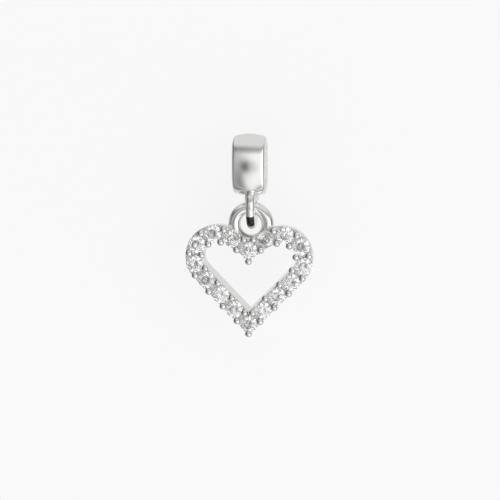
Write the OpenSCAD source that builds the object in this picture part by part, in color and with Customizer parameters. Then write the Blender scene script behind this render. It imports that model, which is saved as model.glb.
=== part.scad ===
// Heart charm. A domed band, the bail, slides on a chain or a bracelet and carries a soldered loop.
// An open heart set with round brilliant stones hangs from that loop by a ring on its notch.
// Millimetres. +Z is up, the front faces -Y, and +X is to the right of a viewer who faces the front.
// The origin is the centre of the round top of the band's opening, where the chain bears.

/* [Bail band] */
// Height of the band
bail_h = 5.92; // [5.6:0.02:6.2]
// Depth of the band, front to back over its crests
bail_depth = 3.6; // [3.4:0.1:4]
// Width of the band, along its opening
bail_w = 3.1; // [2.7:0.1:3.3]
// Thickness of the band at its crest
bail_wall = 0.7; // [0.6:0.05:0.8]
// Radius of the dome across the band
dome_r = 4.6; // [4.2:0.1:5.4]
// Bevel on the outer edges of the band
bail_bevel = 0.16; // [0.1:0.01:0.2]

/* [Loop under the band] */
// Outer radius of the loop
loop_r = 1.7; // [1.68:0.01:1.8]
// Width of the loop's wire, from side to side
loop_w = 0.82; // [0.76:0.02:0.86]
// Thickness of the loop at its bottom, below its hole
loop_t = 1.44; // [1.4:0.01:1.46]
// How deep the loop is sunk into the band
loop_sink = 0.17; // [0.12:0.01:0.3]
// How far the loop was soldered to the right of the middle
loop_shift = 0.2; // [0.06:0.02:0.22]

/* [Heart] */
// Distance from the middle of the heart to the centre of each lobe, along the row of stones
lobe_x = 3.05; // [3.03:0.01:3.07]
// Radius of each lobe, to the row of stones
lobe_r = 2.32; // [2.3:0.01:2.34]
// Height of the notch stone over the centres of the lobes
notch_h = 0.71; // [0.68:0.01:0.73]
// Depth of the tip stone below the centres of the lobes
tip_drop = 6.46; // [6.42:0.02:6.5]
// Depth of the frame, from the stones' girdles to its back
frame_depth = 1.75; // [1.5:0.05:2]
// Width of the frame's front, across the row of stones
rail_w = 1.6; // [1.56:0.02:1.62]
// How far the back of the frame leans towards the inside of the heart
rail_lean = 0.12; // [0:0.02:0.16]

/* [Ring on the notch] */
// Radius of the ring, to the middle of its wire
ring_r = 1.6; // [1.58:0.01:1.62]
// Diameter of the ring's wire
ring_wire = 1.2; // [1.12:0.02:1.22]
// Height of the ring's centre over the notch stone
ring_lift = 2.43; // [2.4:0.01:2.46]

/* [Stones and prongs] */
// Diameter of a stone
stone_d = 1.68; // [1.62:0.01:1.7]
// Diameter of the ball on each prong
ball_d = 0.68; // [0.64:0.01:0.7]
// Distance from the row of stones to each ball of a pair
ball_out = 0.612; // [0.606:0.002:0.618]

/* [Hidden] */
$fn = 64;
overlap = 0.5;

// Band: an oval of four arcs that meet smoothly, because the centres of an end arc and a side arc
// are two corners of a right-angled triangle with sides of 9, 40 and 41 units
bail_unit = (bail_h - bail_depth) / 16;
bail_rise = 9 * bail_unit;
bail_side_y = 40 * bail_unit;
bail_end_r = bail_depth / 2 - bail_unit;
bail_side_r = bail_depth / 2 + bail_side_y;
bail_mid_z = -bail_rise;
dome_fall = dome_r - sqrt(pow(dome_r, 2) - pow(bail_w / 2, 2));
bevel_lean = 0.7;
inner_bevel = 0.05;

// Loop, and the collar of solder at its root
loop_z = bail_mid_z - bail_h / 2 + loop_sink - loop_r;
loop_hole_r = 0.68;
loop_hole_z = loop_z - loop_r + loop_t + loop_hole_r;
hole_edge_r = loop_w / 2 + 0.02;
collar_top_r = 0.74;
collar_foot_r = 0.64;
collar_sink = 0.25;
collar_h = 0.62;
collar_foot_z = bail_mid_z - bail_h / 2 + collar_sink - collar_h;

// The ring rests on the bottom of the loop's hole with this gap, and the heart swings about its wire
hang_gap = 0.05;
ring_shift = 0.1;
swing_z = loop_hole_z - (loop_hole_r - ring_wire / 2 - hang_gap);
ring_z = swing_z - ring_r;
heart_z = ring_z - ring_lift - notch_h;

// Row of stones down one side: a straight run from the notch, the lobe, and a straight run to the tip
gaps = 8;
notch_angle = atan2(notch_h, -lobe_x) - acos(lobe_r / norm([lobe_x, notch_h]));
tip_angle = atan2(-tip_drop, -lobe_x) + acos(lobe_r / norm([lobe_x, tip_drop]));
notch_run = sqrt(pow(lobe_x, 2) + pow(notch_h, 2) - pow(lobe_r, 2));
tip_run = sqrt(pow(lobe_x, 2) + pow(tip_drop, 2) - pow(lobe_r, 2));
arc_run = lobe_r * (notch_angle - tip_angle) * PI / 180;
row_len = notch_run + arc_run + tip_run;

// Round brilliant cut, as shares of the stone's radius; heights are over the middle of the ring's wire
stone_r = stone_d / 2;
girdle_z = 0.85;
girdle_t = 0.04;
crown_h = 0.31 * stone_r;
pavilion_h = 0.86 * stone_r;
table_r = 0.56 * stone_r;
star_r = 0.76 * stone_r;
half_r = 0.26 * stone_r;
facet_turn = 22.5;
stone_turn = 17;

// Frame, in the heart's own plane: its front is just below the girdles
rail_drop = 0.15;
rail_front_z = girdle_z - rail_drop;
rail_back_z = girdle_z - frame_depth;
back_bevel = 0.1;
seat_gap = 0.03;
light_hole_r = 0.42;

// Prongs: a pair between neighbouring stones, and one each at the inside of the notch and at the tip
ball_lift = 0.15;
ball_z = girdle_z + ball_lift;
post_top_r = 0.24;
post_foot_r = 0.14;
post_h = 1.05;
notch_ball_out = 1.05;
tip_ball_out = 0.96;
above_tip = [0.38, 1.09];

function stone_name(k) = str("stone_", k < 10 ? "0" : "", k);

// Point at distance s along the right side of the row, from the notch stone to the tip stone
function on_row(s) =
    s < notch_run ? [0, notch_h] + s * [cos(notch_angle - 90), sin(notch_angle - 90)]
    : s < notch_run + arc_run
        ? let (a = notch_angle - (s - notch_run) / lobe_r * 180 / PI)
            [lobe_x, 0] + lobe_r * [cos(a), sin(a)]
        : [0, -tip_drop] + (row_len - s) * [cos(tip_angle + 90), sin(tip_angle + 90)];

// Place of stone k: down the right side from the notch, through the tip, and up the left side
function stone_at(k) =
    let (i = k <= gaps + 1 ? k - 1 : 2 * gaps + 1 - k, p = on_row(row_len * i / gaps))
        [k <= gaps + 1 ? p.x : -p.x, p.y];

// Balls of the right side: two either side of each gap between stones
function pair_at(i) =
    let (a = stone_at(i), b = stone_at(i + 1), u = (b - a) / norm(b - a), out = [-u.y, u.x],
        mid = (a + b) / 2)
        [mid + ball_out * out, i == gaps ? [0, -tip_drop] + above_tip : mid - ball_out * out];

// Ball prongs of the whole heart
function side_balls() = [for (i = [1:gaps]) each pair_at(i)];
function balls() = concat(
    side_balls(),
    [for (p = side_balls()) [-p.x, p.y]],
    [[0, notch_h - notch_ball_out], [0, -tip_drop - tip_ball_out]]
);

// Section through the band: x is the height from its crest, y is along the opening
module band_section() {
    side = bail_w / 2;
    shoulder = -dome_fall - bail_bevel;
    intersection() {
        polygon([
            [-bail_wall, -side + inner_bevel], [-bail_wall, side - inner_bevel],
            [-bail_wall + inner_bevel, side], [shoulder, side], [shoulder + 1, side - bevel_lean],
            [shoulder + 1, bevel_lean - side], [shoulder, -side], [-bail_wall + inner_bevel, -side]
        ]);
        translate([-dome_r, 0]) circle(r = dome_r, $fn = 120);
    }
}

// Full turn of the band's section at radius r about the opening's axis, around the point [y, z],
// of which only the wedge between the given [y, z] corners is kept
module band_arc(r, centre, wedge) {
    intersection() {
        translate([0, centre.x, centre.y]) rotate([0, 90, 0]) rotate_extrude($fn = 192)
            translate([r, 0]) band_section();
        rotate([90, 0, 90]) linear_extrude(2 * bail_w, center = true) polygon(wedge);
    }
}

module band() {
    far = [4, 0.9];
    translate([0, 0, bail_mid_z]) for (way = [-1, 1]) {
        end = [0, way * bail_rise];
        band_arc(bail_end_r, end, [
            end, end + [far.x, way * far.y], [far.x, way * bail_h], [-far.x, way * bail_h],
            end + [-far.x, way * far.y]
        ]);
        band_arc(bail_side_r, [-way * bail_side_y, 0], [
            [-way * bail_side_y, 0], [way * far.x, bail_rise + far.y], [way * far.x, -bail_rise - far.y]
        ]);
    }
}

// Turns a section about an axis along the band's opening, at height z
module turned(z) {
    translate([0, 0, z]) rotate([0, 90, 0]) rotate_extrude($fn = 72) children();
}

// A disc with a round rim, and in it a hole with round edges that lies above the disc's middle
module loop() {
    rim = loop_r - loop_w / 2;
    bore = loop_hole_r + hole_edge_r;
    difference() {
        turned(loop_z) {
            translate([rim, 0]) circle(d = loop_w, $fn = 32);
            translate([0, -loop_w / 2]) square([rim, loop_w]);
        }
        turned(loop_hole_z) difference() {
            translate([0, -loop_w]) square([bore, 2 * loop_w]);
            translate([bore, 0]) circle(r = hole_edge_r, $fn = 32);
        }
    }
}

module bail() {
    color("silver") {
        band();
        translate([loop_shift, 0, 0]) loop();
        translate([loop_shift, 0, collar_foot_z])
            cylinder(h = collar_h, r1 = collar_foot_r, r2 = collar_top_r);
    }
}

// Puts the heart's own plane upright: x stays, y becomes height, and z comes forward
module upright() {
    translate([0, 0, heart_z]) rotate([90, 0, 0]) children();
}

// Section through the frame: x is outwards from the row of stones, y is forward
module rail_section() {
    half = rail_w / 2;
    lean = rail_lean * (1 - back_bevel / (rail_front_z - rail_back_z));
    polygon([
        [-half, rail_front_z], [-half - lean, rail_back_z + back_bevel],
        [-half - rail_lean + back_bevel, rail_back_z], [half - rail_lean - back_bevel, rail_back_z],
        [half - lean, rail_back_z + back_bevel], [half, rail_front_z]
    ]);
}

// Straight stretch of the frame that starts at p and runs in direction dir
module rail_run(p, dir, length) {
    translate(p) rotate([90, 0, dir + 90]) linear_extrude(length) rail_section();
}

// Right half of the frame, cut off at the middle of the heart
module half_rail() {
    reach = row_len;
    intersection() {
        union() {
            translate([lobe_x, 0]) rotate([0, 0, tip_angle])
                rotate_extrude(angle = notch_angle - tip_angle, $fn = 120)
                    translate([lobe_r, 0]) rail_section();
            rail_run(on_row(-2 * overlap), notch_angle - 90, notch_run + 2 * overlap);
            rail_run(on_row(notch_run + arc_run), tip_angle - 90, tip_run + 3 * overlap);
        }
        translate([0, -reach, -reach]) cube(2 * reach);
    }
}

module ring() {
    translate([ring_shift, notch_h + ring_lift]) rotate_extrude($fn = 72)
        translate([ring_r, 0]) circle(d = ring_wire, $fn = 32);
}

module prong(p) {
    translate([p.x, p.y, ball_z]) sphere(d = ball_d, $fn = 32);
    translate([p.x, p.y, ball_z - post_h]) cylinder(h = post_h, r1 = post_foot_r, r2 = post_top_r, $fn = 24);
}

// Space that a stone and its seat take out of the frame, open to the back for light
module seat() {
    slope = pavilion_h / stone_r;
    drop = seat_gap * sqrt(1 + pow(slope, 2));
    crown_slope = crown_h / (stone_r - table_r);
    lift = seat_gap * sqrt(1 + pow(crown_slope, 2));
    culet_z = girdle_z - girdle_t / 2 - pavilion_h;
    wide = stone_r + seat_gap;
    rotate_extrude($fn = 48) polygon([
        [0, rail_back_z - overlap], [light_hole_r, rail_back_z - overlap],
        [light_hole_r, culet_z + light_hole_r * slope - drop],
        [wide, culet_z + wide * slope - drop],
        [wide, girdle_z + girdle_t / 2 + lift - seat_gap * crown_slope],
        [table_r, girdle_z + girdle_t / 2 + crown_h + lift],
        [0, girdle_z + girdle_t / 2 + crown_h + lift]
    ]);
}

module heart_frame() {
    color("silver") upright() difference() {
        union() {
            half_rail();
            mirror([1, 0, 0]) half_rail();
            ring();
            for (p = balls()) prong(p);
        }
        for (k = [1:2 * gaps]) translate(stone_at(k)) seat();
    }
}

// One height of the cut: count points on a circle, the first at angle start
function level(r, z, count, start) =
    [for (i = [0:count - 1]) [r * cos(start + 360 * i / count), r * sin(start + 360 * i / count), z]];

// Round brilliant: table, stars, kites and halves above the girdle, halves and mains below
module brilliant() {
    top = girdle_t / 2;
    flat_cos = cos(facet_turn);
    star_z = top + crown_h * (stone_r - star_r * flat_cos) / (stone_r - table_r);
    half_z = -top - pavilion_h * (1 - half_r * flat_cos / stone_r);
    points = concat(
        level(table_r, top + crown_h, 8, 0), level(star_r, star_z, 8, facet_turn),
        level(stone_r, top, 16, 0), level(stone_r, -top, 16, 0),
        level(half_r, half_z, 8, facet_turn), [[0, 0, -top - pavilion_h]]
    );
    star = 8;
    upper = 16;
    lower = 32;
    half = 48;
    culet = 56;
    polyhedron(points = points, faces = concat(
        [[for (i = [0:7]) 7 - i]],
        [for (i = [0:7]) [i, (i + 1) % 8, star + i]],
        [for (i = [0:7]) [i, star + i, upper + 2 * i, star + (i + 7) % 8]],
        [for (i = [0:7]) [star + i, upper + 2 * i + 1, upper + 2 * i]],
        [for (i = [0:7]) [star + i, upper + (2 * i + 2) % 16, upper + 2 * i + 1]],
        [for (i = [0:15]) [upper + i, upper + (i + 1) % 16, lower + (i + 1) % 16, lower + i]],
        [for (i = [0:7]) [half + i, lower + 2 * i, lower + 2 * i + 1]],
        [for (i = [0:7]) [half + i, lower + 2 * i + 1, lower + (2 * i + 2) % 16]],
        [for (i = [0:7]) [culet, half + (i + 7) % 8, lower + 2 * i, half + i]]
    ));
}

module stone(k) {
    color("azure") upright() translate(concat(stone_at(k), girdle_z))
        rotate([0, 0, stone_turn * k]) brilliant();
}

bail();
heart_frame();
for (k = [1:2 * gaps]) stone(k);
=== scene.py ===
"""Heart charm: a domed silver band with a loop soldered under it, and an open heart of round
brilliants that hangs from the loop by a ring on its notch. The metal is made anew with rounded
edges, and the stones are the frame's own. Sizes are in millimetres and are turned into metres when
a mesh is made. +Z is up, the front faces -Y and +X is to the viewer's right."""
import math

import bmesh
import bpy
import numpy as np
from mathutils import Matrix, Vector


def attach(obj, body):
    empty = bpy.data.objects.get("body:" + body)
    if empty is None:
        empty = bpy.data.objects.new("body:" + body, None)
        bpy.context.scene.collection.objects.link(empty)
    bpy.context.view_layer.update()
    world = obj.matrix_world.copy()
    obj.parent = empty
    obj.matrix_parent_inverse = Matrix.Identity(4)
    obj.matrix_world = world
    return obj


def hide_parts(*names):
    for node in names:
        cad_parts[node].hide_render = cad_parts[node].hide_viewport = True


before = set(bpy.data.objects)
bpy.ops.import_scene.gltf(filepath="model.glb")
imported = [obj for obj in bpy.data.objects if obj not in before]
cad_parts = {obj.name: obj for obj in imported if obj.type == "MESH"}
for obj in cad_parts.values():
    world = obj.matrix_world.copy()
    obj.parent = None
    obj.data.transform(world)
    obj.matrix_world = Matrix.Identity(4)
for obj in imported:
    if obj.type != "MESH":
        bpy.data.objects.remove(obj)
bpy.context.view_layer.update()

MM = 0.001

# Band
BAND_H = 5.92
BAND_DEPTH = 3.6
BAND_W = 3.1
BAND_WALL = 0.7
DOME_R = 4.6
BAND_EDGE = 0.26
BAND_INNER_EDGE = 0.07
BAND_EDGE_START = 80.0
BAND_SATIN_SPAN = (0.12, 0.02)

# The oval of the band has four arcs, laid out on a right-angled triangle of 9, 40 and 41 units
OVAL_UNIT = (BAND_H - BAND_DEPTH) / 16
OVAL_RISE = 9 * OVAL_UNIT
OVAL_SIDE = 40 * OVAL_UNIT
END_R = BAND_DEPTH / 2 - OVAL_UNIT
SIDE_R = BAND_DEPTH / 2 + OVAL_SIDE
SIDE_HALF_ANGLE = math.atan2(9, 40)
BAND_MID_Z = -OVAL_RISE
BAND_FOOT_Z = BAND_MID_Z - BAND_H / 2

# Loop under the band, whose hole lies above the middle of its rim, and the solder at its root
LOOP_R = 1.7
LOOP_W = 0.82
LOOP_T = 1.44
LOOP_SINK = 0.17
LOOP_SHIFT = 0.2
LOOP_CORNER = 0.4
LOOP_HOLE_R = 0.68
LOOP_TOP = 2.15
LOOP_SQUARE = 3.2
LOOP_SATIN = 0.1
LOOP_SATIN_SPAN = (-10.0, -9.0)
# Painted dark reflection low on the loop's front, and painted shade that darkens its left side
LOOP_PAINTED_DARK_TOP = (-9.4, -10.6)
LOOP_PAINTED_DARK_FOOT = (-52.0, -46.0)
LOOP_SHADE = 0.5
LOOP_SHADE_SPAN = (-0.05, -0.34)
LOOP_Z = BAND_FOOT_Z + LOOP_SINK - LOOP_R
LOOP_LIFT = LOOP_T + LOOP_HOLE_R - LOOP_R
LOOP_RIM_SPAN = (LOOP_R - 0.3, LOOP_R - 0.2)
SOLDER_SINK = 0.25
SOLDER_H = 0.62
SOLDER_TOP_R = 0.72
SOLDER_FOOT_R = 0.64
SOLDER_FOOT_EDGE = 0.05
SOLDER_CAP_EDGE = (0.06, 0.02)
SOLDER_CAP_H = 0.015
SOLDER_RUN_TOP = 84.0
SOLDER_RUN_FOOT = 44.0
SOLDER_RUN_OUT = 0.2
SOLDER_RUN_IN = 0.6
SOLDER_RUN_HALF = 0.24
SOLDER_RUN_ROUND = (0.6, 0.8)
SOLDER_RUN_SINK = 0.01
SOLDER_RUN_END = 5
SOLDER_SATIN = 0.9

# The ring's wire rests on the bottom of the loop's hole
HANG_GAP = 0.05
RING_R = 1.6
RING_WIRE = 1.2
RING_SHIFT = 0.1
RING_LIFT = 2.43
SWING_Z = LOOP_Z + LOOP_LIFT - (LOOP_HOLE_R - RING_WIRE / 2 - HANG_GAP)

# Heart: x is to the right, y is up over the centres of the lobes, z is forward
LOBE_X = 3.05
LOBE_R = 2.32
NOTCH_H = 0.71
TIP_DROP = 6.46
HEART_Z = SWING_Z - RING_R - RING_LIFT - NOTCH_H
STONES = 16
STONES_DOWN = STONES // 2

# The row of stones down one side: a straight run, the lobe's arc and a straight run
NOTCH_ANGLE = math.atan2(NOTCH_H, -LOBE_X) - math.acos(LOBE_R / math.hypot(LOBE_X, NOTCH_H))
TIP_ANGLE = math.atan2(-TIP_DROP, -LOBE_X) + math.acos(LOBE_R / math.hypot(LOBE_X, TIP_DROP))
NOTCH_RUN = math.sqrt(LOBE_X**2 + NOTCH_H**2 - LOBE_R**2)
TIP_RUN = math.sqrt(LOBE_X**2 + TIP_DROP**2 - LOBE_R**2)
ARC_RUN = LOBE_R * (NOTCH_ANGLE - TIP_ANGLE)
ROW_LEN = NOTCH_RUN + ARC_RUN + TIP_RUN
PITCH = ROW_LEN / STONES_DOWN

# Rail that carries the stones
RAIL_FRONT_Z = 0.70
RAIL_BACK_Z = -0.90
RAIL_HALF = 0.8
RAIL_LEAN = 0.12
FRONT_EDGE = 0.035
BACK_EDGE = 0.1
SEAT_SLOPE = 0.86
SEAT_FOOT_Z = 0.068
HOLE_R = 0.42
SEAT_EDGE = 0.02
HOLE_EDGE = 0.05

# Prongs
BALL_R = 0.34
BALL_Z = 1.0
BALL_OUT = 0.612
POST_TOP_R = 0.24
POST_FOOT_R = 0.14
POST_H = 1.05
NECK_TURN = 0.1
NECK_DROP = 0.03
NOTCH_BALL_OUT = 1.05
TIP_BALL_OUT = 0.96
ABOVE_TIP = (0.38, 1.09)
# Painted shade on the balls: a dark crescent on each ball's left side, a little up, standing in for
# shade and dark reflections
BALL_SHADE = 0.75
BALL_SHADE_SIDE = 158.0
BALL_SHADE_SPAN = (0.3, 0.62)
BALL_SHADE_END = (150.0, 120.0)
RAIL_SATIN = 0.55
RAIL_BACK_SATIN = 0.5
RAIL_SATIN_DEPTH = 0.05

MERGE = 0.0002


# Meshes


def grid_faces(rows, columns, close_rows=False, close_columns=False):
    """Quads of a grid whose points are numbered row by row; a closed way joins its last line to
    its first."""
    row = np.arange(rows if close_rows else rows - 1)
    column = np.arange(columns if close_columns else columns - 1)
    i, j = np.meshgrid(row, column, indexing="ij")
    i_next, j_next = (i + 1) % rows, (j + 1) % columns
    corners = (i * columns + j, i * columns + j_next, i_next * columns + j_next, i_next * columns + j)
    return np.stack(corners, axis=-1).reshape(-1, 4)


def patch(points, close_rows=False, close_columns=False, painted_shade=0.0, satin=0.0):
    """Points, quads and finish of one grid, or of many alike when the array has a leading axis of
    copies. Painted shade goes from 0, bright, to 1, black, and satin from 0, polished, to 1, matt."""
    grids = points.reshape((-1,) + points.shape[-3:])
    copies, rows, columns = grids.shape[:3]
    faces = grid_faces(rows, columns, close_rows, close_columns)
    starts = np.arange(copies)[:, None, None] * rows * columns
    finish = [np.broadcast_to(value, points.shape[:-1]).ravel() for value in (painted_shade, satin)]
    return grids.reshape(-1, 3), (faces[None] + starts).reshape(-1, 4), finish


def upright(points):
    """The heart's own plane set upright: its height becomes z and its forward way becomes -y."""
    x, y, z = np.moveaxis(points, -1, 0)
    return np.stack((x, -z, HEART_Z + y), axis=-1)


def make_piece(name, patches, material, body, sharp=50.0):
    """One mesh from patches of points and quads, in millimetres: doubles are merged, faces turned
    outwards and shaded smooth up to the sharp angle."""
    starts = np.cumsum([0] + [len(points) for points, _, _ in patches])
    points = np.concatenate([points for points, _, _ in patches]) * MM
    faces = np.concatenate([quads + start for (_, quads, _), start in zip(patches, starts)])
    finish = np.concatenate([values for _, _, values in patches], axis=1)
    mesh = bpy.data.meshes.new(name)
    mesh.vertices.add(len(points))
    mesh.vertices.foreach_set("co", points.astype(np.float32).ravel())
    mesh.loops.add(faces.size)
    mesh.loops.foreach_set("vertex_index", faces.astype(np.int32).ravel())
    mesh.polygons.add(len(faces))
    mesh.polygons.foreach_set("loop_start", np.arange(0, faces.size, 4, dtype=np.int32))
    mesh.update(calc_edges=True)
    # The first attribute holds painted shade and painted dark reflections, the second the satin finish
    for label, values in zip(("painted_shade", "satin"), finish):
        layer = mesh.attributes.new(label, "FLOAT", "POINT")
        layer.data.foreach_set("value", values.astype(np.float32))
    work = bmesh.new()
    work.from_mesh(mesh)
    bmesh.ops.remove_doubles(work, verts=work.verts, dist=MERGE * MM)
    bmesh.ops.recalc_face_normals(work, faces=work.faces)
    work.to_mesh(mesh)
    work.free()
    mesh.polygons.foreach_set("use_smooth", np.ones(len(mesh.polygons), dtype=bool))
    mesh.set_sharp_from_angle(angle=math.radians(sharp))
    piece = bpy.data.objects.new(name, mesh)
    bpy.context.scene.collection.objects.link(piece)
    mesh.materials.append(material)
    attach(piece, body)
    return piece


def spaced(start, stop, count):
    """Evenly spaced values with both ends."""
    return np.linspace(start, stop, count)


def ramp(value, low, high):
    """0 below low, 1 above high and smooth between them; low may be above high."""
    share = np.clip((value - low) / (high - low), 0, 1)
    return share * share * (3 - 2 * share)


def fillet(centre, radius, start, stop, count=6):
    """Points of an arc in a profile: centre plus radius times (cos, sin) from start to stop degrees."""
    angle = np.radians(spaced(start, stop, count))
    return np.stack((centre[0] + radius * np.cos(angle), centre[1] + radius * np.sin(angle)), axis=-1)


# Band, loop and solder


def oval(angle):
    """Crest of the band where its normal points at the given angle from +y: the end arcs round
    (0, +-rise) and the side arcs round (-+side, 0), which meet where their normals agree."""
    turned = np.abs(np.remainder(angle + np.pi / 2, np.pi) - np.pi / 2)
    on_side = turned <= SIDE_HALF_ANGLE
    centre_y = np.where(on_side, -OVAL_SIDE * np.sign(np.cos(angle)), 0.0)
    centre_z = np.where(on_side, 0.0, OVAL_RISE * np.sign(np.sin(angle)))
    radius = np.where(on_side, SIDE_R, END_R)
    return centre_y + radius * np.cos(angle), centre_z + radius * np.sin(angle)


def band():
    """Rounded section carried round the oval. The section is a box with rounded corners, x along
    the opening and h below the crest, whose outer face falls with x as a circle of the dome's
    radius and whose inner face stays flat."""
    half = BAND_W / 2
    outer, inner = BAND_EDGE, BAND_INNER_EDGE
    right = np.concatenate((
        np.stack((spaced(0, half - outer, 22), np.zeros(22)), axis=-1),
        fillet((half - outer, -outer), outer, BAND_EDGE_START, 0, 8),
        np.stack((np.full(3, half), spaced(-outer - 0.03, -BAND_WALL + inner + 0.02, 3)), axis=-1),
        fillet((half - inner, -BAND_WALL + inner), inner, 0, -90, 6),
        np.stack((spaced(half - inner - 0.04, 0, 8), np.full(8, -BAND_WALL)), axis=-1),
    ))
    section = np.concatenate((right, (right * (-1, 1))[-2:0:-1]))
    x, h = section.T
    fall = DOME_R - np.sqrt(DOME_R**2 - x**2)
    h = h - fall * (h + BAND_WALL) / BAND_WALL
    side = SIDE_HALF_ANGLE
    half_turn = np.concatenate((spaced(-side, side, 41)[:-1], spaced(side, np.pi - side, 97)[:-1]))
    angle = np.concatenate((half_turn, half_turn + np.pi))
    crest_y, crest_z = oval(angle)
    y = crest_y[:, None] + h * np.cos(angle)[:, None]
    z = BAND_MID_Z + crest_z[:, None] + h * np.sin(angle)[:, None]
    inside = ramp(h + BAND_WALL, *BAND_SATIN_SPAN)
    return patch(np.stack((np.broadcast_to(x, y.shape), y, z), axis=-1), True, True, satin=inside)


def loop_rim(slope):
    """Distance from the middle of the loop to its rim at a slope over the front, in radians: a
    circle below, and above it a superellipse that goes straight up before it bends to the band."""
    forward, rise = np.abs(np.cos(slope)) / LOOP_R, np.maximum(np.sin(slope), 0) / LOOP_TOP
    above = (forward**LOOP_SQUARE + rise**LOOP_SQUARE) ** (-1 / LOOP_SQUARE)
    return np.where(np.sin(slope) > 0, above, LOOP_R)


def loop():
    """Sections set round the axis of the loop's hole. Each is a box with round corners that reaches
    from the hole to the rim, whose middle lies below the hole's. Its rim has a painted dark
    reflection, black in front low down, and painted shade that makes its left side darker."""
    turn = spaced(0, 2 * np.pi, 241)[:-1]
    slope = spaced(-np.pi, 2 * np.pi, 1441)
    rim_y = loop_rim(slope) * np.cos(slope)
    rim_z = loop_rim(slope) * np.sin(slope) - LOOP_LIFT
    seen = np.unwrap(np.arctan2(rim_z, rim_y))
    rim = np.interp(turn, seen, np.hypot(rim_y, rim_z))[:, None]
    turn = turn[:, None]
    half_t = (rim - LOOP_HOLE_R) / 2
    half_w = LOOP_W / 2
    quarter = spaced(0, np.pi / 2, 10)
    around = np.concatenate([quarter + k * np.pi / 2 for k in range(4)])[None, :]
    side_t = np.repeat((1, -1, -1, 1), len(quarter))
    side_w = np.repeat((1, 1, -1, -1), len(quarter))
    corner = np.minimum(LOOP_CORNER, half_t - 0.01)
    radius = LOOP_HOLE_R + half_t + (half_t - corner) * side_t + corner * np.cos(around)
    x = LOOP_SHIFT + (half_w - corner) * side_w + corner * np.sin(around)
    y = -radius * np.cos(turn)
    rise = LOOP_LIFT + radius * np.sin(turn)
    slope = np.degrees(np.arctan2(rise, -y))
    on_rim = ramp(np.hypot(rise, y), *LOOP_RIM_SPAN)
    # Painted dark reflection, black low on the front of the rim, and painted shade on its left side
    shade_paint = ramp(slope, *LOOP_PAINTED_DARK_TOP) * ramp(slope, *LOOP_PAINTED_DARK_FOOT) * on_rim
    shade = LOOP_SHADE * ramp(x - LOOP_SHIFT, *LOOP_SHADE_SPAN) * on_rim
    shade_paint = np.maximum(shade_paint, shade)
    soft = LOOP_SATIN * ramp(slope, *LOOP_SATIN_SPAN)
    return patch(np.stack((x + 0 * y, y, LOOP_Z + rise), axis=-1), True, True, shade_paint, soft)


def solder():
    """Flared foot of solder: its radius grows upwards as a quarter circle does, and it is closed by
    a small cap below and one inside the band."""
    rise = spaced(0, 1, 20)
    flare = 1 - np.sqrt(1 - rise**2)
    radius = SOLDER_FOOT_R + (SOLDER_TOP_R - SOLDER_FOOT_R) * flare
    cap = [0, SOLDER_FOOT_R - SOLDER_CAP_EDGE[0], SOLDER_FOOT_R - SOLDER_CAP_EDGE[1]]
    radius = np.concatenate((cap, radius, [0]))[:, None]
    foot = BAND_FOOT_Z + SOLDER_SINK - SOLDER_H
    side = SOLDER_FOOT_EDGE + (SOLDER_H - SOLDER_FOOT_EDGE) * rise
    height = foot + np.concatenate(([0, 0, SOLDER_CAP_H], side, [SOLDER_H]))[:, None]
    around = spaced(0, 2 * np.pi, 49)[None, :-1]
    points = (LOOP_SHIFT + radius * np.cos(around), radius * np.sin(around), height + 0 * around)
    return patch(np.stack(points, axis=-1), False, True, satin=SOLDER_SATIN)


def solder_run(way):
    """Solder that ran down the flanks of the loop, in front (way -1) or behind (way 1): a
    superellipse carried along the rim from the band down, which narrows to the loop's own width."""
    slope = spaced(SOLDER_RUN_TOP, SOLDER_RUN_FOOT, 36)[:, None]
    share = (SOLDER_RUN_TOP - slope) / (SOLDER_RUN_TOP - SOLDER_RUN_FOOT)
    width = LOOP_W / 2 - SOLDER_RUN_SINK + SOLDER_RUN_OUT * np.sqrt(1 - share**SOLDER_RUN_END)
    around = spaced(0, 2 * np.pi, 41)[None, :-1]
    across, up = np.cos(around), np.sin(around)
    round_across, round_up = SOLDER_RUN_ROUND
    x = LOOP_SHIFT + width * np.sign(across) * np.abs(across) ** round_across
    rim = loop_rim(np.radians(slope))
    radius = rim - SOLDER_RUN_IN + SOLDER_RUN_HALF * np.sign(up) * np.abs(up) ** round_up
    y = way * radius * np.cos(np.radians(slope))
    z = LOOP_Z + radius * np.sin(np.radians(slope))
    return patch(np.stack((x, y, z), axis=-1), False, True, satin=SOLDER_SATIN)


# Heart


def row_point(along, out):
    """Point of the heart's plane at a distance along the closed row of stones, from the notch down
    the right side and up the left, and a distance out of it. Near the notch and the tip the
    distance along is stretched so that each offset line ends on the middle plane."""
    along, out = np.broadcast_arrays(along, out)
    wrapped = np.remainder(along, 2 * ROW_LEN)
    left = wrapped > ROW_LEN
    s = np.where(left, 2 * ROW_LEN - wrapped, wrapped)
    half_cell = PITCH / 2
    s = s + out * math.tan(NOTCH_ANGLE - np.pi / 2) * np.clip(1 - s / half_cell, 0, 1)
    to_tip = ROW_LEN - s
    s = s + out / math.tan(-TIP_ANGLE) * np.clip(1 - to_tip / half_cell, 0, 1)
    angle = NOTCH_ANGLE - (s - NOTCH_RUN) / LOBE_R
    angle = np.clip(angle, TIP_ANGLE, NOTCH_ANGLE)
    before = np.minimum(s - NOTCH_RUN, 0)
    after = np.maximum(s - NOTCH_RUN - ARC_RUN, 0)
    straight = before + after
    x = LOBE_X + (LOBE_R + out) * np.cos(angle) + straight * np.sin(angle)
    y = (LOBE_R + out) * np.sin(angle) - straight * np.cos(angle)
    return np.stack((np.where(left, -x, x), y), axis=-1)


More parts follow.
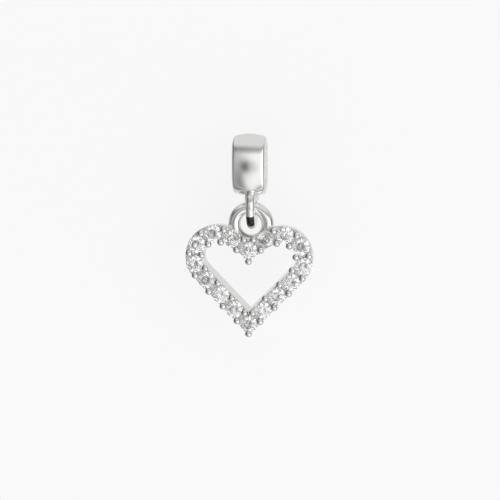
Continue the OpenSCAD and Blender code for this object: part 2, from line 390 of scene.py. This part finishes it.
def rail_wall(side):
    """Profile of one wall of the rail as (out, z): rounded front edge, leaning wall, rounded back
    edge. side is 1 for the outer wall and -1 for the inner one."""
    wall = side * RAIL_HALF
    facing = 0 if side > 0 else 180
    backwards = -90 if side > 0 else 270
    front_centre = (wall - side * FRONT_EDGE, RAIL_FRONT_Z - FRONT_EDGE)
    front = fillet(front_centre, FRONT_EDGE, 90, facing)
    depth = spaced(0, 1, 8)[1:-1]
    low_z = RAIL_BACK_Z + BACK_EDGE
    high = front[-1]
    low = np.array((wall - RAIL_LEAN, low_z))
    middle = high + (low - high) * depth[:, None]
    back = fillet((wall - RAIL_LEAN - side * BACK_EDGE, low_z), BACK_EDGE, facing, backwards, 8)
    return np.concatenate((front, middle, back))


def seat_profile():
    """Profile from the front face into a seat and out at the back, as (radius, z): the seat's cone
    follows the stone's pavilion, and a light hole goes on to the back. A few close points ease the
    seat's lip, the foot of its cone and the hole's back edge."""
    lip_r = (RAIL_FRONT_Z - SEAT_FOOT_Z) / SEAT_SLOPE
    cone_low_z = SEAT_FOOT_Z + HOLE_R * SEAT_SLOPE
    radius = np.concatenate((
        [lip_r + 0.6 * SEAT_EDGE, lip_r + 0.15 * SEAT_EDGE, lip_r - 0.3 * SEAT_EDGE],
        spaced(lip_r - SEAT_EDGE, HOLE_R + 0.02, 6), [HOLE_R + 0.004, HOLE_R],
        np.full(5, HOLE_R), [HOLE_R + 0.008, HOLE_R + 0.025, HOLE_R + HOLE_EDGE],
    ))
    cone = SEAT_FOOT_Z + radius[3:9] * SEAT_SLOPE
    z = np.concatenate((
        [RAIL_FRONT_Z, RAIL_FRONT_Z - 0.002, RAIL_FRONT_Z - 0.009], cone,
        [cone_low_z - 0.008, cone_low_z - 0.03],
        spaced(cone_low_z - 0.08, RAIL_BACK_Z + HOLE_EDGE + 0.05, 5),
        [RAIL_BACK_Z + 0.025, RAIL_BACK_Z + 0.008, RAIL_BACK_Z],
    ))
    return radius, z


def rail():
    """The rail in three parts that share their points: a cell round each stone, whose spokes run
    from its edge on the front face through the seat to its edge on the back, and the outer and the
    inner wall, each a profile carried along the row."""
    steps = 28
    cross = 10
    walls = {side: rail_wall(side) for side in (1, -1)}
    centre_s = np.arange(STONES)[:, None] * PITCH
    centre = row_point(centre_s, 0.0)
    share = spaced(-0.5, 0.5, steps + 1) * PITCH

    def edge(front):
        """Closed edge of every cell: outer side, far end, inner side, near end."""
        end = 0 if front else -1
        out, inn = walls[1][end, 0], walls[-1][end, 0]
        across = spaced(out, inn, cross + 1)
        ends = np.full(cross, share[-1]), np.full(cross, share[0])
        s = np.concatenate((share[:-1], ends[0], share[:0:-1], ends[1]))
        w = np.concatenate((np.full(steps, out), across[:-1], np.full(steps, inn), across[:0:-1]))
        return row_point(centre_s + s, w[None, :])

    front, back = edge(True), edge(False)
    unit_front = (front - centre) / np.linalg.norm(front - centre, axis=-1, keepdims=True)
    unit_back = (back - centre) / np.linalg.norm(back - centre, axis=-1, keepdims=True)
    radius, z = seat_profile()
    turn = np.clip((RAIL_FRONT_Z - z) / (RAIL_FRONT_Z - RAIL_BACK_Z), 0, 1)[None, None, :, None]
    unit = unit_front[:, :, None] * (1 - turn) + unit_back[:, :, None] * turn
    unit = unit / np.linalg.norm(unit, axis=-1, keepdims=True)
    rings = centre[:, :, None] + radius[None, None, :, None] * unit
    plane = np.concatenate((front[:, :, None], rings, back[:, :, None]), axis=2)
    height = np.concatenate(([RAIL_FRONT_Z], z, [RAIL_BACK_Z]))
    height = np.broadcast_to(height[None, None, :, None], plane.shape[:3] + (1,))
    front_share = ramp(z, RAIL_FRONT_Z - RAIL_SATIN_DEPTH, RAIL_FRONT_Z)
    satin = RAIL_SATIN * np.concatenate(([1.0], front_share, [RAIL_BACK_SATIN]))
    cells = patch(upright(np.concatenate((plane, height), axis=-1)), True, False, satin=satin)

    along = np.concatenate([centre_s[k] + share[:-1] for k in range(STONES)])[:, None]
    strips = [cells]
    for profile in walls.values():
        flat = row_point(along, profile[None, :, 0])
        depth = np.broadcast_to(profile[None, :, 1, None], flat.shape[:2] + (1,))
        strips.append(patch(upright(np.concatenate((flat, depth), axis=-1)), True, False))
    return strips


def ring():
    """Round wire bent to a circle: (R + r cos v) turned by u, and r sin v forward."""
    turn = spaced(0, 2 * np.pi, 161)[:-1, None]
    around = spaced(0, 2 * np.pi, 65)[None, :-1]
    radius = RING_R + RING_WIRE / 2 * np.cos(around)
    points = (
        RING_SHIFT + radius * np.sin(turn), NOTCH_H + RING_LIFT - radius * np.cos(turn),
        RING_WIRE / 2 * np.sin(around) + 0 * turn,
    )
    return patch(upright(np.stack(points, axis=-1)), True, True)


def prong_places():
    """Two balls between each pair of neighbouring stones, square to the line that joins them, with
    the two inner ones at the tip moved up, and one each inside the notch and under the tip."""
    centre = row_point(np.arange(STONES_DOWN + 1) * PITCH, 0.0)
    step = np.diff(centre, axis=0)
    step = step / np.linalg.norm(step, axis=-1, keepdims=True)
    out = np.stack((-step[:, 1], step[:, 0]), axis=-1)
    middle = (centre[1:] + centre[:-1]) / 2
    inner = middle - BALL_OUT * out
    inner[-1] = (ABOVE_TIP[0], ABOVE_TIP[1] - TIP_DROP)
    right = np.concatenate((middle + BALL_OUT * out, inner))
    ends = np.array(((0, NOTCH_H - NOTCH_BALL_OUT), (0, -TIP_DROP - TIP_BALL_OUT)))
    return np.concatenate((right, right * (-1, 1), ends))


def prongs():
    """Balls on tapered posts, each turned about its own axis: the ball's radius follows a circle
    down to the neck, and the post's shrinks evenly to its foot. Each ball has painted shade, a dark
    crescent that grows with the lean of its surface towards its left side, a little up."""
    neck_z = BALL_Z - math.sqrt(BALL_R**2 - POST_TOP_R**2)
    neck = np.pi - math.asin(POST_TOP_R / BALL_R)
    fall = spaced(0, neck - NECK_TURN, 20)
    post_z = spaced(neck_z - NECK_DROP, BALL_Z - POST_H, 6)
    post_r = POST_TOP_R - (POST_TOP_R - POST_FOOT_R) * (BALL_Z - post_z) / POST_H
    radius = np.concatenate((BALL_R * np.sin(fall), post_r, [0]))
    height = np.concatenate((BALL_Z + BALL_R * np.cos(fall), post_z, post_z[-1:]))
    around = spaced(0, 2 * np.pi, 33)[:-1]
    place = prong_places()[:, None, None, :]
    x = place[..., 0] + radius[None, :, None] * np.cos(around)
    y = place[..., 1] + radius[None, :, None] * np.sin(around)
    z = np.broadcast_to(height[None, :, None], x.shape)
    from_top = np.concatenate((np.degrees(fall), np.full(len(post_r) + 1, 180.0)))
    # Painted shade: a dark crescent where the ball leans to the left and a little up
    on_ball = np.sin(np.radians(from_top)) * ramp(from_top, *BALL_SHADE_END)
    lean = on_ball[:, None] * np.cos(around - math.radians(BALL_SHADE_SIDE))
    shade_paint = np.broadcast_to(BALL_SHADE * ramp(lean, *BALL_SHADE_SPAN), x.shape)
    return patch(upright(np.stack((x, y, z), axis=-1)), False, True, shade_paint)


# Materials


STONE_TINT = (0.99, 0.995, 1.0)
STONE_IOR = 2.15
STONE_ROUGHNESS = 0.09
FACET_SNAP = 0.04
FACET_DEPTH = 0.45
FACET_RARITY = 3.0
TABLE_FACING = (0.95, 0.99)
TABLE_DEPTH = 0.12
CLOUD_DEPTH = 0.65
CLOUD_SCALE = 1400.0
CLOUD_SPAN = (0.40, 0.60)
POLISH_ROUGHNESS = 0.07
POLISH_DEPTH = 0.01
POLISH_STRENGTH = 0.25
HAZE_ROUGHNESS = 0.12
HAZE_START = 0.7
HAZE_GAIN = 0.8
SATIN_ROUGHNESS = 0.5
MATT_WHITE = 0.5
LINE_SCALES = (900.0, 700.0)
UNEVEN_SCALE = 500.0
FIRST_LINES = ((0.5, 0.3, 0.2), (1.0, 14.0, 1.0))
SECOND_LINES = ((-0.6, 0.9, 1.1), (12.0, 1.0, 1.0))
# Noise that makes the edge of the painted shade uneven
SHADE_EDGE_SCALE = 2600.0
SHADE_EDGE_UNEVENNESS = 0.5
SILVER_COLOR = (0.93, 0.925, 0.915, 1.0)
# Dark colour that paints shade and dark reflections onto the silver
PAINTED_SHADE_COLOR = (0.05, 0.048, 0.045, 1.0)
FLOAT = "NodeSocketFloat"
VECTOR = "NodeSocketVector"
COLOR = "NodeSocketColor"


def shader_group(name, inputs, outputs):
    """Empty node group with named sockets; inputs and outputs map a name to its kind and value."""
    group = bpy.data.node_groups.new(name, "ShaderNodeTree")
    for socket, (kind, value) in inputs.items():
        made = group.interface.new_socket(name=socket, in_out="INPUT", socket_type=kind)
        if value is not None:
            made.default_value = value
    for socket, kind in outputs.items():
        group.interface.new_socket(name=socket, in_out="OUTPUT", socket_type=kind)
    return group, group.nodes.new("NodeGroupInput"), group.nodes.new("NodeGroupOutput")


def math_node(tree, operation, first, second=None, clamp=False):
    """Math node whose inputs are sockets or numbers; gives back its result."""
    node = tree.nodes.new("ShaderNodeMath")
    node.operation = operation
    node.use_clamp = clamp
    for slot, value in enumerate((first, second)):
        if isinstance(value, (int, float)):
            node.inputs[slot].default_value = value
        elif value is not None:
            tree.links.new(value, node.inputs[slot])
    return node.outputs[0]


def smooth_step(tree, value, low, high):
    """0 below low, 1 above high and a smooth rise between them; low may be above high."""
    node = tree.nodes.new("ShaderNodeMapRange")
    node.interpolation_type = "SMOOTHSTEP"
    node.clamp = True
    tree.links.new(value, node.inputs["Value"])
    flip = low > high
    node.inputs["From Min"].default_value = high if flip else low
    node.inputs["From Max"].default_value = low if flip else high
    node.inputs["To Min"].default_value = 1.0 if flip else 0.0
    node.inputs["To Max"].default_value = 0.0 if flip else 1.0
    return node.outputs[0]


def blend(tree, share, first, second):
    """Number that goes from first to second as share goes from 0 to 1."""
    node = tree.nodes.new("ShaderNodeMix")
    node.data_type = "FLOAT"
    for socket, value in ((0, share), (2, first), (3, second)):
        if isinstance(value, (int, float)):
            node.inputs[socket].default_value = value
        else:
            tree.links.new(value, node.inputs[socket])
    return node.outputs[0]


def noise(tree, vector, scale, detail, roughness, stretch=None):
    """Noise texture on a vector, with features of about one over scale metres; stretch is a turn
    and the scales of the three axes."""
    if stretch:
        mapping = tree.nodes.new("ShaderNodeMapping")
        mapping.inputs["Rotation"].default_value = stretch[0]
        mapping.inputs["Scale"].default_value = stretch[1]
        tree.links.new(vector, mapping.inputs["Vector"])
        vector = mapping.outputs[0]
    node = tree.nodes.new("ShaderNodeTexNoise")
    tree.links.new(vector, node.inputs["Vector"])
    node.inputs["Scale"].default_value = scale
    node.inputs["Detail"].default_value = detail
    node.inputs["Roughness"].default_value = roughness
    return node.outputs["Fac"]


def polish_group():
    """Hairline scratches of polishing in two ways, and a soft unevenness of the surface."""
    group, inside, outside = shader_group(
        "polish_marks",
        {"Vector": (VECTOR, None), "Scratches": (FLOAT, 1.0), "Unevenness": (FLOAT, 1.0)},
        {"Height": FLOAT, "Haze": FLOAT},
    )
    vector = inside.outputs["Vector"]
    first = noise(group, vector, LINE_SCALES[0], 4.0, 0.6, FIRST_LINES)
    second = noise(group, vector, LINE_SCALES[1], 4.0, 0.6, SECOND_LINES)
    wide = noise(group, vector, UNEVEN_SCALE, 1.0, 0.4)
    lines = math_node(group, "ADD", first, second)
    lines = math_node(group, "MULTIPLY", lines, inside.outputs["Scratches"])
    soft = math_node(group, "MULTIPLY", wide, inside.outputs["Unevenness"])
    group.links.new(math_node(group, "ADD", lines, soft), outside.inputs["Height"])
    strong = math_node(group, "SUBTRACT", lines, HAZE_START)
    haze = math_node(group, "MULTIPLY", strong, HAZE_GAIN, clamp=True)
    group.links.new(haze, outside.inputs["Haze"])
    return group


def painted_shade_group():
    """Colour of silver from bright to black as the painted shade grows, with a slightly uneven edge."""
    group, inside, outside = shader_group(
        "painted_shade_tint", {"Vector": (VECTOR, None), "Painted_Shade": (FLOAT, 0.0)}, {"Color": COLOR},
    )
    cloud = noise(group, inside.outputs["Vector"], SHADE_EDGE_SCALE, 3.0, 0.6)
    centred = math_node(group, "SUBTRACT", cloud, 0.5)
    uneven = math_node(group, "MULTIPLY", centred, SHADE_EDGE_UNEVENNESS)
    uneven = math_node(group, "MULTIPLY", uneven, inside.outputs["Painted_Shade"])
    shade_paint = math_node(group, "ADD", inside.outputs["Painted_Shade"], uneven, clamp=True)
    colors = group.nodes.new("ShaderNodeMix")
    colors.data_type = "RGBA"
    group.links.new(shade_paint, colors.inputs[0])
    colors.inputs[6].default_value = SILVER_COLOR
    colors.inputs[7].default_value = PAINTED_SHADE_COLOR
    group.links.new(colors.outputs[2], outside.inputs["Color"])
    return group


def silver(name, marks, shade_paint):
    """Polished silver: pale, mirror-like, with faint marks in its roughness and height, a dark colour
    painted where the mesh carries painted shade, and rougher and whiter where it is satin."""
    material = bpy.data.materials.new(name)
    material.use_nodes = True
    tree = material.node_tree
    shader = tree.nodes["Principled BSDF"]
    coordinates = tree.nodes.new("ShaderNodeTexCoord")
    stored = tree.nodes.new("ShaderNodeAttribute")
    # Painted shade stored on the mesh turns the base colour towards black
    stored.attribute_name = "painted_shade"
    painted_shade = tree.nodes.new("ShaderNodeGroup")
    painted_shade.node_tree = shade_paint
    tree.links.new(coordinates.outputs["Object"], painted_shade.inputs["Vector"])
    tree.links.new(stored.outputs["Fac"], painted_shade.inputs["Painted_Shade"])
    tree.links.new(painted_shade.outputs["Color"], shader.inputs["Base Color"])
    group = tree.nodes.new("ShaderNodeGroup")
    group.node_tree = marks
    tree.links.new(coordinates.outputs["Object"], group.inputs["Vector"])
    matt = tree.nodes.new("ShaderNodeAttribute")
    matt.attribute_name = "satin"
    spread = math_node(tree, "MULTIPLY_ADD", group.outputs["Haze"], HAZE_ROUGHNESS)
    spread.node.inputs[2].default_value = POLISH_ROUGHNESS
    satin = math_node(tree, "MULTIPLY", matt.outputs["Fac"], SATIN_ROUGHNESS)
    tree.links.new(math_node(tree, "ADD", spread, satin), shader.inputs["Roughness"])
    white = math_node(tree, "MULTIPLY", matt.outputs["Fac"], MATT_WHITE)
    tree.links.new(math_node(tree, "SUBTRACT", 1.0, white), shader.inputs["Metallic"])
    bump = tree.nodes.new("ShaderNodeBump")
    bump.inputs["Strength"].default_value = POLISH_STRENGTH
    bump.inputs["Distance"].default_value = POLISH_DEPTH * MM
    tree.links.new(group.outputs["Height"], bump.inputs["Height"])
    tree.links.new(bump.outputs["Normal"], shader.inputs["Normal"])
    return material


def facet_group():
    """Tone of a cut stone: each facet takes its own, found from the way it faces, and the table
    has soft clouds."""
    group, inside, outside = shader_group(
        "facet_tone", {"Vector": (VECTOR, None), "Depth": (FLOAT, 0.5)}, {"Color": COLOR},
    )
    geometry = group.nodes.new("ShaderNodeNewGeometry")
    own_way = group.nodes.new("ShaderNodeVectorTransform")
    own_way.vector_type = "NORMAL"
    own_way.convert_from = "WORLD"
    own_way.convert_to = "OBJECT"
    group.links.new(geometry.outputs["True Normal"], own_way.inputs[0])
    snap = group.nodes.new("ShaderNodeVectorMath")
    snap.operation = "SNAP"
    group.links.new(own_way.outputs[0], snap.inputs[0])
    snap.inputs[1].default_value = (FACET_SNAP, FACET_SNAP, FACET_SNAP)
    own = group.nodes.new("ShaderNodeObjectInfo")
    pick = group.nodes.new("ShaderNodeTexWhiteNoise")
    pick.noise_dimensions = "4D"
    group.links.new(snap.outputs[0], pick.inputs["Vector"])
    group.links.new(own.outputs["Random"], pick.inputs["W"])
    facet = math_node(group, "POWER", pick.outputs["Value"], FACET_RARITY)
    facing = group.nodes.new("ShaderNodeSeparateXYZ")
    group.links.new(own_way.outputs[0], facing.inputs[0])
    forward = math_node(group, "MULTIPLY", facing.outputs[1], -1.0)
    table = smooth_step(group, forward, *TABLE_FACING)
    cloud = noise(group, inside.outputs["Vector"], CLOUD_SCALE, 1.0, 0.4)
    cloud = smooth_step(group, cloud, *CLOUD_SPAN)
    clouded = math_node(group, "MULTIPLY_ADD", cloud, CLOUD_DEPTH)
    clouded.node.inputs[2].default_value = TABLE_DEPTH
    toned = math_node(group, "MULTIPLY", facet, inside.outputs["Depth"])
    dark = blend(group, table, toned, clouded)
    tone = math_node(group, "SUBTRACT", 1.0, dark)
    color = group.nodes.new("ShaderNodeCombineColor")
    for channel, share in enumerate(STONE_TINT):
        group.links.new(math_node(group, "MULTIPLY", tone, share), color.inputs[channel])
    group.links.new(color.outputs[0], outside.inputs["Color"])
    return group


def crystal(name, tone):
    """Clear cut stone: glass with the stone's own high refraction and a tone for each facet."""
    material = bpy.data.materials.new(name)
    material.use_nodes = True
    tree = material.node_tree
    shader = tree.nodes["Principled BSDF"]
    coordinates = tree.nodes.new("ShaderNodeTexCoord")
    group = tree.nodes.new("ShaderNodeGroup")
    group.node_tree = tone
    group.inputs["Depth"].default_value = FACET_DEPTH
    tree.links.new(coordinates.outputs["Object"], group.inputs["Vector"])
    tree.links.new(group.outputs["Color"], shader.inputs["Base Color"])
    shader.inputs["Transmission Weight"].default_value = 1.0
    shader.inputs["IOR"].default_value = STONE_IOR
    shader.inputs["Roughness"].default_value = STONE_ROUGHNESS
    return material


def studio_paper(name, one_sided=False):
    """Matt paper of the studio, lit mostly from itself; one-sided paper is clear from behind."""
    material = bpy.data.materials.new(name)
    material.use_nodes = True
    tree = material.node_tree
    shader = tree.nodes["Principled BSDF"]
    shader.inputs["Base Color"].default_value = (PAPER_TONE, PAPER_TONE, PAPER_TONE, 1.0)
    shader.inputs["Roughness"].default_value = 1.0
    shader.inputs["Specular IOR Level"].default_value = 0.0
    shader.inputs["Emission Color"].default_value = (1.0, 1.0, 1.0, 1.0)
    shader.inputs["Emission Strength"].default_value = PAPER_GLOW
    if one_sided:
        clear = tree.nodes.new("ShaderNodeBsdfTransparent")
        facing = tree.nodes.new("ShaderNodeNewGeometry")
        mix = tree.nodes.new("ShaderNodeMixShader")
        tree.links.new(facing.outputs["Backfacing"], mix.inputs[0])
        tree.links.new(shader.outputs[0], mix.inputs[1])
        tree.links.new(clear.outputs[0], mix.inputs[2])
        tree.links.new(mix.outputs[0], tree.nodes["Material Output"].inputs["Surface"])
    return material


# Studio


VIEW_AZIMUTH = 8.0
VIEW_ELEVATION = 10.0
PHOTO_WIDTH = 48.0
LENS = 100.0
SENSOR = 36.0
AIM_Z = -9.53
PAPER_TONE = 0.16
PAPER_GLOW = 0.812
WALL_Y = 4.0
WALL_HALF = 120.0
FLOOR_Z = -40.0
FLOOR_HALF = 480.0
KEY_SIZE = 120.0
KEY_REACH = 300.0
KEY_PLACE = (50.0, 12.0)


def direction(azimuth, elevation):
    """Unit vector from the charm towards an azimuth, right of the front, and an elevation."""
    a, e = math.radians(azimuth), math.radians(elevation)
    return Vector((math.sin(a) * math.cos(e), -math.cos(a) * math.cos(e), math.sin(e)))


def add_camera():
    """Camera a little to the right of the front and above, so far away that the charm takes up as
    much of the picture as it does in the photo."""
    data = bpy.data.cameras.new("camera")
    data.lens = LENS
    data.sensor_width = SENSOR
    data.clip_start = 0.005
    data.clip_end = 10.0
    camera = bpy.data.objects.new("camera", data)
    bpy.context.scene.collection.objects.link(camera)
    away = direction(VIEW_AZIMUTH, VIEW_ELEVATION)
    camera.location = Vector((0, 0, AIM_Z * MM)) + away * (PHOTO_WIDTH * LENS / SENSOR * MM)
    camera.rotation_mode = "QUATERNION"
    camera.rotation_quaternion = away.to_track_quat("Z", "Y")
    bpy.context.scene.camera = camera


def softbox(name, azimuth, elevation, size, brightness):
    """Square light that faces the charm from an azimuth and elevation; brightness is its radiance."""
    data = bpy.data.lights.new(name, "AREA")
    data.shape = "RECTANGLE"
    data.size = size * MM
    data.size_y = size * MM
    data.energy = brightness * 4 * data.size * data.size_y
    light = bpy.data.objects.new(name, data)
    bpy.context.scene.collection.objects.link(light)
    away = direction(azimuth, elevation)
    light.location = Vector((0, 0, AIM_Z * MM)) + away * KEY_REACH * MM
    light.rotation_mode = "QUATERNION"
    light.rotation_quaternion = away.to_track_quat("Z", "Y")
    return light


def flat_card(name, corners, material):
    """Flat four-cornered card that belongs to the studio. Silver and stones don't mirror it, and it
    casts no shadow."""
    mesh = bpy.data.meshes.new(name)
    mesh.from_pydata([Vector(c) * MM for c in corners], [], [(0, 1, 2, 3)])
    mesh.materials.append(material)
    card = bpy.data.objects.new(name, mesh)
    bpy.context.scene.collection.objects.link(card)
    card.visible_glossy = False
    card.visible_transmission = False
    card.visible_shadow = False


# Brightness of the surround along the horizon, as (azimuth right of the front, brightness)
HORIZON = (
    (-180, 0.78), (-140, 0.74), (-118, 0.70), (-96, 0.46), (-74, 0.17), (-52, 0.32), (-38, 0.56),
    (-20, 0.74), (-4, 0.90), (14, 1.04), (62, 1.08), (80, 0.45), (114, 0.42), (135, 0.74), (180, 0.78),
)
# The same in the dark line over the horizon
LINE = (
    (-180, 0.75), (-140, 0.70), (-118, 0.12), (-60, 0.12), (-35, 0.28), (0, 0.35), (40, 0.44),
    (110, 0.42), (135, 0.70), (180, 0.75),
)
LINE_SPAN = (10.0, 18.0, 14.0, 50.0)
CEILING_BRIGHTNESS = 0.72
FLOOR_BRIGHTNESS = 0.54
FLOOR_SPAN = (-62.0, -86.0)
PAPER_BRIGHTNESS = 0.94
STONE_LIGHT = 1.68
STONE_CONTRAST = 1.7
STONE_LIMIT = 1.1

# Soft shapes of the surround, dark ones and one lamp: azimuth and elevation of the middle, half
# width, half height and brightness
SOFT_SHAPES = (
    (2.0, -7.0, 15.0, 9.0, 0.66),
    (-15.0, -6.5, 13.5, 9.5, 0.18),
    (-32.0, -34.0, 14.0, 30.0, 0.28),
    (34.0, -62.0, 22.0, 26.0, 0.50),
    (92.0, 4.0, 12.0, 16.0, 0.10),
    (-86.0, 36.0, 34.0, 26.0, 0.05),
    (46.0, -12.0, 13.0, 19.0, 2.3),
)
SHAPE_POWER = 2.5


def azimuth_ramp(tree, turned, stops):
    """Brightness that follows the azimuth smoothly through the given stops."""
    colors = tree.nodes.new("ShaderNodeValToRGB")
    colors.color_ramp.interpolation = "B_SPLINE"
    elements = colors.color_ramp.elements
    for place, _ in stops[1:-1]:
        elements.new(place / 360 + 0.5)
    for element, (place, value) in zip(elements, stops):
        element.position = place / 360 + 0.5
        element.color = (value, value, value, 1.0)
    tree.links.new(turned, colors.inputs[0])
    grey = tree.nodes.new("ShaderNodeRGBToBW")
    tree.links.new(colors.outputs[0], grey.inputs[0])
    return grey.outputs[0]


def add_surround():
    """Soft surround that the silver and the stones mirror. Its brightness depends on the azimuth
    along the horizon; it has a dark line above that, a ceiling, a floor and soft shapes. Light that
    goes through a stone sees it with more contrast, and the camera sees plain paper."""
    world = bpy.data.worlds.new("surround")
    bpy.context.scene.world = world
    world.use_nodes = True
    tree = world.node_tree
    where = tree.nodes.new("ShaderNodeTexCoord").outputs["Generated"]
    parts = tree.nodes.new("ShaderNodeSeparateXYZ")
    tree.links.new(where, parts.inputs[0])
    x, y, z = parts.outputs
    forward = math_node(tree, "MULTIPLY", y, -1.0)
    azimuth = math_node(tree, "DEGREES", math_node(tree, "ARCTAN2", x, forward))
    elevation = math_node(tree, "DEGREES", math_node(tree, "ARCSINE", z))
    turned = math_node(tree, "MULTIPLY_ADD", azimuth, 1 / 360)
    turned.node.inputs[2].default_value = 0.5
    value = azimuth_ramp(tree, turned, HORIZON)
    for middle, height, half_width, half_height, brightness in SOFT_SHAPES:
        aside = math_node(tree, "DIVIDE", math_node(tree, "SUBTRACT", azimuth, middle), half_width)
        above = math_node(tree, "DIVIDE", math_node(tree, "SUBTRACT", elevation, height), half_height)
        aside = math_node(tree, "POWER", math_node(tree, "ABSOLUTE", aside), SHAPE_POWER)
        above = math_node(tree, "POWER", math_node(tree, "ABSOLUTE", above), SHAPE_POWER)
        away = math_node(tree, "ADD", aside, above)
        share = math_node(tree, "EXPONENT", math_node(tree, "MULTIPLY", away, -1.0))
        value = blend(tree, share, value, brightness)
    line = azimuth_ramp(tree, turned, LINE)
    value = blend(tree, smooth_step(tree, elevation, *LINE_SPAN[:2]), value, line)
    value = blend(tree, smooth_step(tree, elevation, *LINE_SPAN[2:]), value, CEILING_BRIGHTNESS)
    value = blend(tree, smooth_step(tree, elevation, *FLOOR_SPAN), value, FLOOR_BRIGHTNESS)
    path = tree.nodes.new("ShaderNodeLightPath")
    calm = math_node(tree, "MINIMUM", value, STONE_LIMIT)
    through = math_node(tree, "MULTIPLY", math_node(tree, "POWER", calm, STONE_CONTRAST), STONE_LIGHT)
    value = blend(tree, path.outputs["Is Transmission Ray"], value, through)
    value = blend(tree, path.outputs["Is Camera Ray"], value, PAPER_BRIGHTNESS)
    tree.links.new(value, tree.nodes["Background"].inputs["Color"])


def add_studio():
    """Floor, backdrop, one soft key light and the surround."""
    square = ((-1, -1), (1, -1), (1, 1), (-1, 1))
    floor = [(FLOOR_HALF * a, FLOOR_HALF * b, FLOOR_Z) for a, b in square]
    flat_card("floor", floor, studio_paper("studio_paper"))
    wall = [(WALL_HALF * a, WALL_Y, WALL_HALF * b) for a, b in square]
    flat_card("backdrop", wall, studio_paper("backdrop_paper", one_sided=True))
    key = softbox("key_light", *KEY_PLACE, KEY_SIZE, 1.0)
    key.visible_glossy = False
    key.visible_transmission = False
    add_surround()


def build():
    """Every piece of the charm with its material, on the body that it moves with."""
    marks = polish_group()
    shade_paint = painted_shade_group()
    bright = silver("polished_silver", marks, shade_paint)
    bail = make_piece("bail_band", [band()], bright, "bail")
    make_piece("bail_loop", [loop()], bright, "bail")
    make_piece("bail_solder", [solder(), solder_run(-1), solder_run(1)], bright, "bail")
    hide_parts("bail")
    frame_piece = make_piece("heart_rail", rail(), bright, "heart", sharp=35.0)
    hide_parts("heart_frame")
    make_piece("heart_ring", [ring()], bright, "heart")
    make_piece("heart_prongs", [prongs()], bright, "heart")
    stone = crystal("clear_stone", facet_group())
    for name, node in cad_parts.items():
        if name.startswith("stone_"):
            node.data.materials.clear()
            node.data.materials.append(stone)


scene = bpy.context.scene
scene.view_settings.view_transform = "Standard"
scene.cycles.max_bounces = 24
scene.cycles.glossy_bounces = 16
scene.cycles.transmission_bounces = 16
add_camera()
add_studio()
build()
